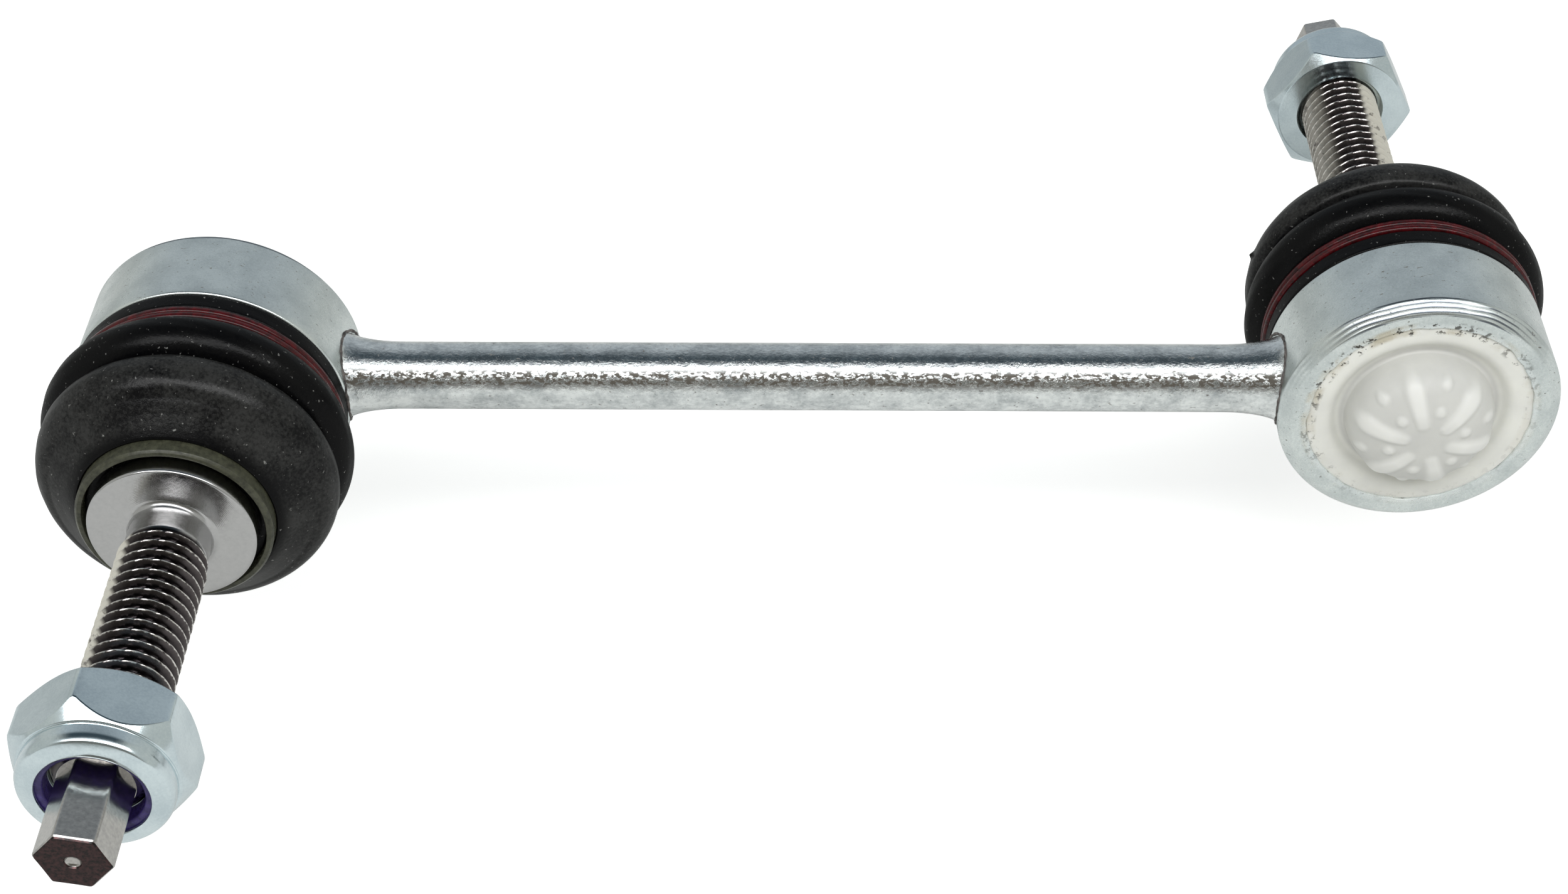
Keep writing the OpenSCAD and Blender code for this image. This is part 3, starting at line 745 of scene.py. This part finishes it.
# A thin bead round the rod's foot: a small circle carried along the curve where rod and housing meet, its
# place and size made uneven by sums of sines
def buildWeld(side):
    its = settings(weld)
    around = anglesRound(its.columns)
    across = anglesRound(its.rows)[:, None, None]
    wanderSeed, swellSeed = its.seeds
    footRadius = rod["radius"] + rod["flare"] * its.flareShare
    footRadius = footRadius + its.wander * unevenRound(around, its.wanderWaves, wanderSeed)
    y = footRadius * np.cos(around)
    z = footRadius * np.sin(around)
    centre = np.stack([halfCentre - wallReach(z), y, z], axis=-1)
    bead = its.radius * (1 + its.swell * unevenRound(around, its.swellWaves, swellSeed))
    radial = np.stack([0 * around, np.cos(around), np.sin(around)], axis=-1)
    along = np.array([1.0, 0, 0])
    grid = centre + bead[:, None] * (np.cos(across) * radial + np.sin(across) * along)
    grid[..., 0] *= facingOf[side]
    mesh = meshFromGrid(side + "WeldSeam", grid * mm, closedRows=True)
    return addPiece(mesh, weldOxide, "link")


# Boot
boot = {"columns": 240, "longestStep": 0.45, "sharpAngle": 60, "rubber": 1.7, "seatRadius": 13.5,
        "seatGap": 0.1, "lipRadius": 16.25, "lipRound": 0.35, "clampFloor": 14.95, "clampBottom": 7.6,
        "clampTop": 9.7, "firstRadius": 3.0, "firstEnd": 84, "firstBackEnd": -60, "firstRows": 44,
        "firstBackRows": 16, "creaseRadius": 14.7, "creaseOut": 16.1, "edgeRadius": 16.15, "edgeOut": 16.55,
        "edgeStart": -84, "secondRadius": 17.2, "secondOut": 18.4, "riseRows": 12, "slopeRadius": 15.0,
        "slopeOut": 21.9, "slopeIn": 0.6, "slopeEnd": 78, "slopeBack": 1.0, "fallRows": 18,
        "ridge": ((13.35, 23.1, 0.3), (11.45, 24.7, 0.3), (11.1, 24.9, 0.1)), "ringGroove": 23.5,
        "groove": ((11.1, 23.5, 0), (10.1, 23.5, 0)),
        "neck": ((10.1, 25.1, 0.2), (6.7, 25.1, 0.2), (6.7, 23.6, 0)),
        "inside": ((8.8, 20.9, 0), (9.8, 20.9, 0), (10.3, 21.3, 0)), "lump": 0.05, "lumpTwist": 0.35,
        "lumpWaves": (3, 5, 9, 14), "outsideFrom": 14.6, "outsideEdge": 0.8, "partingAngle": 65,
        "partingHeight": 0.09, "partingWidth": 0.10, "partingSink": 0.1, "nubAngle": 192, "nubOut": 19.6,
        "nubHeight": 0.45, "nubWidth": 0.35}


# Lower half, from the housing to the crease: lip, clamp groove and the first bulge as an arc, and back inside
# at a wall's thickness
def lowerBootProfile(crease, creaseBack):
    its = settings(boot)
    low = bootSpan["low"]
    lip = roundedProfile([(its.seatRadius, low, 0), (its.lipRadius, low, its.lipRound),
                          (its.lipRadius, its.clampBottom, its.lipRound),
                          (its.clampFloor, its.clampBottom, 0),
                          (its.clampFloor, its.clampTop, 0)], closed=False)
    outer = its.firstRadius
    inner = outer - its.rubber
    centre = (bootSpan["radius"] - outer, its.clampTop + outer)
    bulge = arcPoints(centre, (outer, outer), -90, its.firstEnd, its.firstRows)
    back = arcPoints(centre, (inner, inner), its.firstEnd, its.firstBackEnd, its.firstBackRows)
    seat = (its.seatRadius, housingSpan["high"] + its.seatGap)
    return np.concatenate([lip, bulge, [crease, creaseBack], back, [seat]])


# Upper half, on from the crease: a sharp edge, the second bulge as two quarter ellipses that meet at its
# widest, a ridge, the slope to the ring groove and the neck, conical inside to clear the tilting stud
def upperBootProfile(crease, creaseBack):
    its = settings(boot)
    widest, widestOut = its.secondRadius, its.secondOut
    edge, slope = its.edgeRadius, its.slopeRadius - its.slopeIn
    rise = arcPoints((edge, widestOut), (widest - edge, widestOut - its.edgeOut),
                     its.edgeStart, 0, its.riseRows)
    fall = arcPoints((slope, widestOut), (widest - slope, its.slopeOut - widestOut),
                     0, its.slopeEnd, its.fallRows)[1:]
    top = roundedProfile([(*fall[-1], 0), *its.ridge, *its.groove, *its.neck, *its.inside], closed=False)
    back = [(its.slopeRadius - its.rubber, its.slopeOut - its.slopeBack),
            (widest - its.rubber, widestOut)]
    return np.concatenate([[crease], rise, fall, top[1:], back, [creaseBack]])


# The profiles carried round the stud, a few hundredths uneven, with two thin parting lines left by the mould,
# each a bell curve of the way round to it; the right boot has a nub of flash on its second bulge
def buildBoot(side):
    its = settings(boot)
    angles = anglesRound(its.columns)
    crease = (its.creaseRadius, its.creaseOut)
    creaseBack = (its.creaseRadius - its.rubber, its.creaseOut)
    halves = {"LowerBoot": lowerBootProfile(crease, creaseBack),
              "UpperBoot": upperBootProfile(crease, creaseBack)}
    pieces = []
    for seed, (name, profile) in enumerate(halves.items(), 1):
        radius, out = repeatRound(spreadProfile(profile, its.longestStep), angles)
        outside = np.clip((radius - its.outsideFrom) / its.outsideEdge, 0, 1)
        lumps = (1 + unevenRound(angles + its.lumpTwist * out, its.lumpWaves, seed)) / 2
        radius = radius - its.lump * outside * lumps
        toLine = radius * np.sin(angles - np.radians(its.partingAngle))
        line = its.partingHeight * np.exp(-(toLine / its.partingWidth) ** 2)
        radius = radius + (line - its.partingSink) * outside
        if side == "right":
            aside = radius * np.sin((angles - np.radians(its.nubAngle)) / 2) * 2
            toNub = np.hypot(aside, out - its.nubOut)
            radius = radius + its.nubHeight * np.exp(-(toNub / its.nubWidth) ** 2) * outside
        mesh = turnedMesh(side, name, radius, out, angles, closedRows=True, sharpAngle=its.sharpAngle,
                          studOut=out)
        pieces.append(addPiece(mesh, bootRubber))
    lowerPiece, upperPiece = pieces
    levels = (its.clampTop, its.creaseOut, its.ringGroove)
    start, middle, end = (Vector(placeAtEnd(side, 0.0, 0.0, out)) for out in levels)
    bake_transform(lowerPiece)
    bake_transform(upperPiece)
    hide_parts(side + "_boot")
    return pieces


# Rings on the boot
clampRing = {"columns": 192, "inner": 15.05, "turns": 2, "rounding": 0.38, "notch": 0.5, "gap": 0.01}


# A band of flat turns side by side: each turn is a rounded rectangle carried round the stud
def buildClampRing(side):
    its = settings(clampRing)
    low, high, outer = clampSpan["low"], clampSpan["high"], clampSpan["radius"]
    width = (high - low) / its.turns
    notch = outer - its.notch
    corners = [(its.inner, low, 0)]
    for turn in range(its.turns):
        start = low + turn * width + its.gap
        end = low + (turn + 1) * width - its.gap
        corners += [(notch, start, 0), (outer, start, its.rounding),
                    (outer, end, its.rounding), (notch, end, 0)]
    corners += [(its.inner, high, 0)]
    mesh = turnedRing(side, "ClampRing", roundedProfile(corners), its.columns)
    return addPiece(mesh, clampRed, "link", [side + "_clamp_ring"])


neckRing = {"columns": 160, "inner": 10.2, "chamfer": 0.3, "chamferRound": 0.15, "innerRound": 0.12}


# A flat ring with a small chamfer outside, turned round the stud
def buildNeckRing(side):
    its = settings(neckRing)
    low, high, outer = neckRingSpan["low"], neckRingSpan["high"], neckRingSpan["radius"]
    profile = roundedProfile([(its.inner, low, 0),
                              (outer, low, 0),
                              (outer, high - its.chamfer, its.chamferRound),
                              (outer - its.chamfer, high, its.chamferRound),
                              (its.inner, high, its.innerRound)])
    mesh = turnedRing(side, "NeckRing", profile, its.columns)
    return addPiece(mesh, neckOlive, side + "_neck_ring", [side + "_neck_ring"])


# Stud
stud = {"columns": 144, "longestStep": 0.5, "sharpAngle": 32, "ballRadius": 8.05, "footAngles": (2, 34.8),
        "footRows": 8, "footGap": 0.01, "neckRadius": 4.6, "flangeBack": 25.2,
        "neck": ((4.6, 17.9, 0.5), (6.6, 19.9, 0.5), (6.6, 25.2, 0)), "flangeOut": 28.0, "flangeEdge": 0.3,
        "fillet": 0.8, "shankRadius": 4.6, "threadRadius": 5.0, "pitch": 1.5, "rowsPerTurn": 16,
        "threadDepth": 0.8, "crestShare": 0.08, "rootShare": 0.24, "threadFrom": 31.4, "threadGap": 0.05,
        "runIn": 1.4, "runOut": 0.6, "runOutPast": 0.2, "threadEnd": 64.5, "leadRadius": 4.75,
        "leadChamfer": 0.75, "tipAcrossFlats": 7.0, "tipCorner": 48, "tipCornerRadius": 3.98, "tipFrom": 0.5,
        "tipRows": 12, "tipChamfer": 0.3, "bevelShare": 0.8, "faceRing": 0.6, "markRadius": 0.9,
        "markDepth": 0.45, "markRows": 7, "floorReflectionFrom": {"left": 0.62, "right": 0.35}, "floorReflectionEdge": 0.1,
        "floorReflectionInner": {"left": 0.0, "right": 0.4}, "innerFrom": 0.55, "innerEdge": 0.2}


# Height of a thread over its root, 0 to 1, for its place within one pitch: a flat root, a straight flank up,
# a flat crest and a straight flank down
def threadShape(phase):
    fromCrest = np.abs((phase + 0.5) % 1 - 0.5) * 2
    return np.clip((1 - stud["rootShare"] - fromCrest) / (1 - stud["rootShare"] - stud["crestShare"]), 0, 1)


# The tip's rows: a hexagon's sides, a small bevel, the end's face and in its middle a half-ellipsoid hollow
def studTip(angles):
    its = settings(stud)
    end = studSpan["high"]
    sides = hexRadius(angles, its.tipAcrossFlats, its.tipCorner, its.tipCornerRadius)
    sideOut = np.linspace(its.threadEnd + its.tipFrom, end - its.tipChamfer, its.tipRows)
    bevel = sides - its.tipChamfer * its.bevelShare
    markShare = np.linspace(1, 0, its.markRows)
    markOut = end - its.markDepth * np.sqrt(np.clip(1 - markShare ** 2, 0, 1))
    radius = np.concatenate([np.tile(sides, (1 + len(sideOut), 1)), [bevel, its.faceRing * bevel],
                             its.markRadius * markShare[:, None] + 0 * angles])
    out = np.concatenate([[its.threadEnd], sideOut, [end, end], markOut])[:, None] + 0 * angles
    return radius, out


# How far each angle carries the painted pale reflection of the floor, 0 to 1: full to the stud's outer side,
# a share of it opposite
def floorReflectionRound(side, angles):
    toSide = np.cos(angles)
    wash = np.clip((toSide - stud["floorReflectionFrom"][side]) / stud["floorReflectionEdge"], 0, 1)
    inner = np.clip((-toSide - stud["innerFrom"]) / stud["innerEdge"], 0, 1)
    return np.maximum(wash, stud["floorReflectionInner"][side] * inner)


# The whole stud as one grid: a foot hollowed to the ball, neck, boot seat, flange and shank turned round the
# axis; on the thread the radius falls from the crest by the depth times what the thread's height lacks, whose
# phase is the way out over the pitch less the turn, so it climbs to the right; and the tip is a hexagon
def buildStud(side):
    its = settings(stud)
    angles = anglesRound(its.columns, its.tipCorner)
    flange = studSpan["radius"]
    footAngles = np.radians(np.linspace(*its.footAngles, its.footRows))
    foot = np.stack([np.sin(footAngles), np.cos(footAngles)], axis=-1) * its.ballRadius + (0, ballAt)
    body = roundedProfile([(its.neckRadius, foot[-1, 1] + its.footGap, 0), *its.neck,
                           (flange, its.flangeBack, its.flangeEdge), (flange, its.flangeOut, its.flangeEdge),
                           (its.shankRadius, its.flangeOut, its.fillet),
                           (its.shankRadius, its.threadFrom, 0)], closed=False)
    body = spreadProfile(body, its.longestStep, closed=False)
    threadTop = its.threadEnd - its.leadChamfer
    rowStep = its.pitch / its.rowsPerTurn
    threadOut = np.arange(its.threadFrom + its.threadGap, threadTop, rowStep)
    thread = np.stack([np.full(len(threadOut), its.shankRadius), threadOut], axis=-1)
    lead = [(its.leadRadius, threadTop), (its.leadRadius - its.leadChamfer, its.threadEnd)]
    profile = np.concatenate([[(0, ballAt + its.ballRadius)], foot, body, thread, lead])
    radius, out = repeatRound(profile, angles)
    climb = threadShape(out / its.pitch - angles / (2 * np.pi))
    onThread = np.clip((out - its.threadFrom) / its.runIn, 0, 1)
    onThread = onThread * np.clip((threadTop + its.runOutPast - out) / its.runOut, 0, 1)
    threaded = its.threadRadius - its.threadDepth * (1 - climb)
    radius = radius + onThread * (threaded - its.shankRadius)
    height = np.where(onThread > 0, climb, 1.0)
    tipRadius, tipOut = studTip(angles)
    radius = np.concatenate([radius, tipRadius])
    out = np.concatenate([out, tipOut])
    height = np.concatenate([height, np.ones_like(tipRadius)])
    mesh = turnedMesh(side, "Stud", radius, out, angles, sharpAngle=its.sharpAngle, studRadius=radius,
                      studOut=out, threadHeight=height, sideWash=floorReflectionRound(side, angles))
    return addPiece(mesh, studSteel, side + "_stud", [side + "_stud"])


# Nut
nut = {"columns": 180, "sharpAngle": 24, "acrossFlats": 17.0, "hexHeight": 7.2,
       "faceRadius": 8.15, "rearSlope": 0.80, "frontRadius": 8.3, "frontSlope": 1.518, "cornerRadius": 9.72,
       "flatShares": (0.25, 0.5, 0.75), "bore": 5.05, "countersink": 0.6, "collarRadius": 8.05,
       "collarGap": 0.02, "collarRound": 1.6, "wall": 1.1, "shoulderEnd": 40, "shoulderRows": 9,
       "lip": ((7.5, 9.42), (6.4, 9.80), (6.1, 9.87), (5.92, 9.85)),
       "inside": ((5.8, 9.72), (5.8, 9.4), (6.9, 9.4), (6.9, 7.2), (5.05, 7.2)),
       "turn": {"left": 37, "right": 3}, "bevel": 0.12,
       "bevelSegments": 2, "bevelAngle": 22}


# A closed profile round the stud. Below and above the flats a cone cuts the hexagon: each angle's rows end
# where the cone's radius equals the hexagon's there, so the cuts are the curved edges of a turned nut. Over
# the front cone stands the collar: a straight wall, an arc inwards and the lip rolled over the insert
def buildNut(side):
    its = settings(nut)
    angles = anglesRound(its.columns, its.turn[side])
    one = np.ones_like(angles)
    flats = hexRadius(angles, its.acrossFlats, its.turn[side], its.cornerRadius)
    top = its.hexHeight
    rearCut = its.rearSlope * (flats - its.faceRadius)
    frontCut = top - its.frontSlope * (flats - its.frontRadius)
    rows = [(its.bore * one, its.countersink * one), ((its.bore + its.countersink) * one, 0 * one),
            (its.faceRadius * one, 0 * one), (flats, rearCut)]
    rows += [(flats, rearCut + (frontCut - rearCut) * share) for share in its.flatShares]
    rows += [(flats, frontCut), (its.frontRadius * one, top * one)]
    arcCentre = (its.collarRadius - its.collarRound, top + its.wall)
    shoulder = arcPoints(arcCentre, (its.collarRound,) * 2, 0, its.shoulderEnd, its.shoulderRows)
    collar = [(its.collarRadius, top + its.collarGap), *shoulder, *its.lip, *its.inside]
    rows += [(r * one, o * one) for r, o in collar]
    radius = np.stack([r for r, _ in rows])
    out = spanOf("nut", side)["low"] + np.stack([o for _, o in rows])
    mesh = turnedMesh(side, "Nut", radius, out, angles, closedRows=True, sharpAngle=its.sharpAngle)
    piece = addPiece(mesh, nutZinc, side + "_nut", [side + "_nut"])
    rounding = piece.modifiers.new("edges", "BEVEL")
    rounding.width = its.bevel * mm
    rounding.segments = its.bevelSegments
    rounding.limit_method = "ANGLE"
    rounding.angle_limit = np.radians(its.bevelAngle)
    return piece


insert = {"columns": 120, "bore": 5.06, "outerRound": 0.2, "lip": 0.35}


# A nylon ring turned round the stud, its mouth rounded inwards where the thread has pushed it up
def buildInsert(side):
    its = settings(insert)
    span = spanOf("nut_insert", side)
    profile = roundedProfile([(its.bore, span["low"], 0),
                              (span["radius"], span["low"], 0),
                              (span["radius"], span["high"], its.outerRound),
                              (its.bore, span["high"], its.lip)])
    mesh = turnedRing(side, "NutInsert", profile, its.columns)
    return addPiece(mesh, insertNylon, side + "_insert", [side + "_nut_insert"])


housingZinc = zincMaterial("housing")
rodZinc = zincMaterial("rod")
nutZinc = zincMaterial("nut")
studSteel = studMaterial()
bootRubber = rubberMaterial()
clampRed = ringMaterial("clamp")
neckOlive = ringMaterial("neck")
seatPlastic = ringMaterial("seat")
insertNylon = ringMaterial("nylon")
weldOxide = ringMaterial("weld")
capIvory = capMaterial()
ballSteel = ballMaterial()
print("materials made:", len(bpy.data.materials))

buildRod()
for side in facingOf:
    buildHousing(side)
    buildCap(side)
    buildWeld(side)
    buildBoot(side)
    buildClampRing(side)
    buildNeckRing(side)
    buildStud(side)
    buildNut(side)
    buildInsert(side)
    for node, material in (("ball", ballSteel), ("ball_seat", seatPlastic)):
        shown = frame["nodes"][side + "_" + node]
        shown.data.materials.clear()
        shown.data.materials.append(material)
    print(side, "end built")


# Stage, light and camera, in metres
stage = {"halfWidth": 2.4, "level": -0.036, "colour": (0.83, 0.83, 0.81), "glow": (0.58, 1.0),
         "glowReach": (0.2, 1.2)}


# One flat sheet, plain and pale, below the lowest point that any pose reaches; to the camera it whitens with
# the distance from the part
def buildFloor():
    half = stage["halfWidth"]
    level = stage["level"]
    corners = [(-half, -half, level), (half, -half, level), (half, half, level), (-half, half, level)]
    mesh = bpy.data.meshes.new("floor")
    mesh.from_pydata(corners, [], [(0, 1, 2, 3)])
    floor = bpy.data.objects.new("floor", mesh)
    bpy.context.scene.collection.objects.link(floor)
    material, shader = startMaterial("paleFloor", {"Roughness": 0.9, "Specular IOR Level": 0.1,
                                                         "Base Color": (*stage["colour"], 1),
                                                         "Emission Color": (1, 1, 1, 1)})
    rays = addNode("ShaderNodeLightPath")
    place = addNode("ShaderNodeTexCoord")
    reach = addNode("ShaderNodeVectorMath", {"operation": "LENGTH"}, wires={0: place.outputs["Object"]})
    near, far = stage["glowReach"]
    low, high = stage["glow"]
    whiten = addNode("ShaderNodeMapRange",
                     values={"From Min": near, "From Max": far, "To Min": low, "To Max": high},
                     wires={"Value": reach.outputs["Value"]})
    glow = times(rays.outputs["Is Camera Ray"], whiten.outputs[0])
    wireUp(shader, {"Emission Strength": glow})
    mesh.materials.append(material)


softBox = {"at": (0.03, -0.425, 0.642), "size": (1.3, 0.24), "power": 5.6}


# One wide soft box above and before the part, turned towards its middle
def buildLight():
    lamp = bpy.data.lights.new("frontBox", "AREA")
    lamp.shape = "RECTANGLE"
    lamp.size, lamp.size_y = softBox["size"]
    lamp.energy = softBox["power"]
    holder = bpy.data.objects.new("frontBox", lamp)
    holder.location = softBox["at"]
    holder.rotation_euler = (-Vector(softBox["at"])).to_track_quat("-Z", "Y").to_euler()
    bpy.context.scene.collection.objects.link(holder)


room = {"back": (0.45, 0.49, 0.52), "overhead": (0.04, 0.06, 0.075), "front": (0.8, 0.82, 0.84),
        "low": (0.19, 0.185, 0.165), "sides": (0.58, 0.59, 0.56), "sideSpan": (0.45, 0.8), "seen": 1.0,
        "leans": {-46: "back", -22: "overhead", 7: "overhead", 23: "front", 42: "front", 49: "low"}}


# The room's light by a direction's lean from straight up, in degrees, below 0 behind the object and above 0
# before it: grey behind, dark overhead, pale round the soft box, dark again low in front, and pale far to
# both sides; what the camera sees of it is white
def buildRoom():
    world = bpy.data.worlds.new("studioRoom")
    world.use_nodes = True
    work["tree"] = world.node_tree
    place = addNode("ShaderNodeTexCoord")
    split = addNode("ShaderNodeSeparateXYZ", wires={"Vector": place.outputs["Generated"]})
    lean = calc("ARCTAN2", times(split.outputs["Y"], -1), split.outputs["Z"])
    turn = calc("ADD", calc("DIVIDE", lean, 2 * np.pi), 0.5)
    positions = [degrees / 360 + 0.5 for degrees in room["leans"]]
    light = ramp(turn, positions, *(room[part] for part in room["leans"].values()))
    aside = smoothStep(calc("ABSOLUTE", split.outputs["X"]), *room["sideSpan"])
    light = mixColour(aside, light, room["sides"])
    rays = addNode("ShaderNodeLightPath")
    seen = mixColour(rays.outputs["Is Camera Ray"], light, room["seen"])
    wireUp(work["tree"].nodes["Background"], {"Color": seen})
    bpy.context.scene.world = world


# The photograph's camera, solved from the outlines of housings, rings and rod, in degrees and millimetres
view = {"elevation": 40.926, "azimuth": 1.763, "roll": 0.900, "distance": 296.707, "across": -3.267,
        "down": 8.335, "focalPixels": 3994.6, "widthPixels": 2500, "sensor": 36.0, "clip": (0.01, 20)}


# The camera looks against the direction from the target; its right and down axes lie square to that and are
# then turned by the roll
def buildCamera():
    elevation, azimuth, roll = (np.radians(view[key]) for key in ("elevation", "azimuth", "roll"))
    flat = np.cos(elevation)
    back = np.array([np.sin(azimuth) * flat, -np.cos(azimuth) * flat, np.sin(elevation)])
    level = np.cross(-back, (0, 0, 1))
    level /= np.linalg.norm(level)
    drop = np.cross(-back, level)
    right = np.cos(roll) * level + np.sin(roll) * drop
    down = -np.sin(roll) * level + np.cos(roll) * drop
    place = (view["across"] * right + view["down"] * down + back * view["distance"]) * mm
    lens = bpy.data.cameras.new("photoCamera")
    lens.sensor_fit = "HORIZONTAL"
    lens.sensor_width = view["sensor"]
    lens.lens = view["focalPixels"] * view["sensor"] / view["widthPixels"]
    lens.clip_start, lens.clip_end = view["clip"]
    camera = bpy.data.objects.new("photoCamera", lens)
    turned = np.eye(4)
    turned[:3] = np.stack([right, -down, back, place], axis=-1)
    camera.matrix_world = Matrix(turned.tolist())
    bpy.context.scene.collection.objects.link(camera)
    bpy.context.scene.camera = camera


buildFloor()
buildLight()
buildRoom()
buildCamera()
bpy.context.scene.view_settings.view_transform = "Standard"
print("stage, light and camera set")
